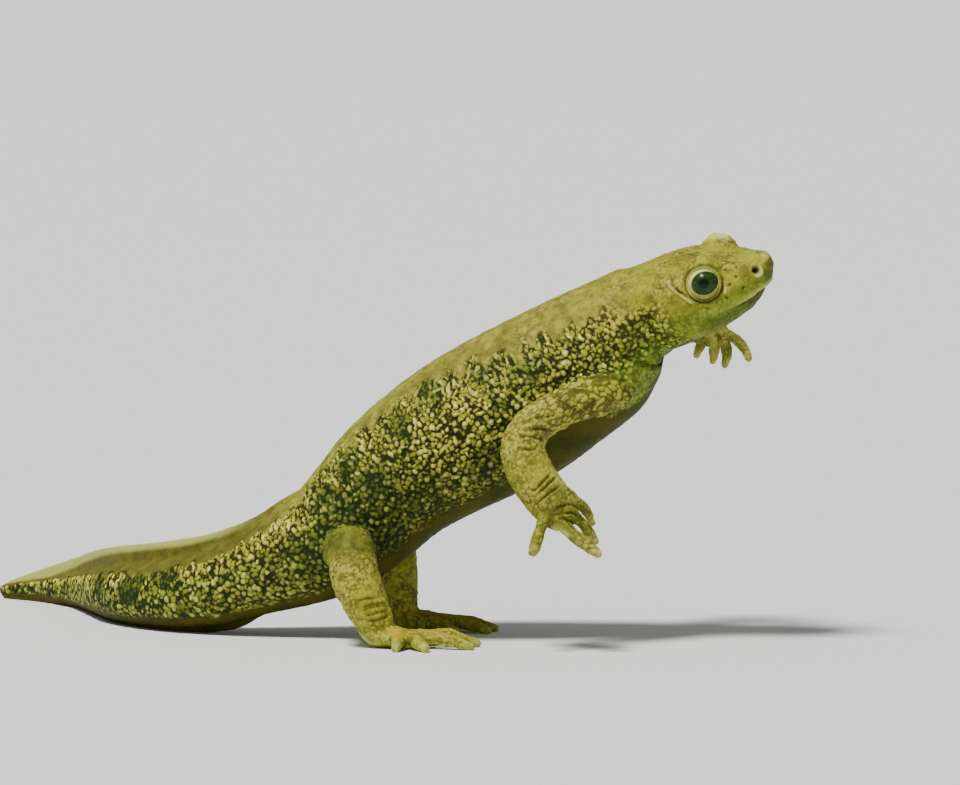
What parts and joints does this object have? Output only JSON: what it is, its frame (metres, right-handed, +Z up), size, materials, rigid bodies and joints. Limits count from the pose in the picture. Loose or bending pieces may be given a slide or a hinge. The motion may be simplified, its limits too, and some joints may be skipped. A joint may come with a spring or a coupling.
{
  "type": "ribbed newt",
  "caption": "Life-size still newt raised on its hind feet, forelegs free, head up, with warty flanks and a finned tail laid on the floor.",
  "frame": {"origin": "on the floor, under the middle of the animal's box", "axes": "+X towards the snout, +Y towards the animal's left side, +Z up"},
  "size_m": [0.1078, 0.058, 0.0501],
  "materials": {
    "skin": "moist, warty, olive with dark hollows",
    "limb": "moist, finely granular, pale olive",
    "eye": "wet gloss, dark with a pale ring"
  },
  "bodies": {
    "root": {"head": "skin", "torso": "skin", "tail": "skin", "foreleg_right": "limb", "foreleg_left": "limb", "forefoot_right": "limb", "forefoot_left": "limb", "hindleg_right": "limb", "hindleg_left": "limb", "hindfoot_right": "limb", "hindfoot_left": "limb", "eye_right": "eye", "eye_left": "eye"}
  },
  "joints": []
}
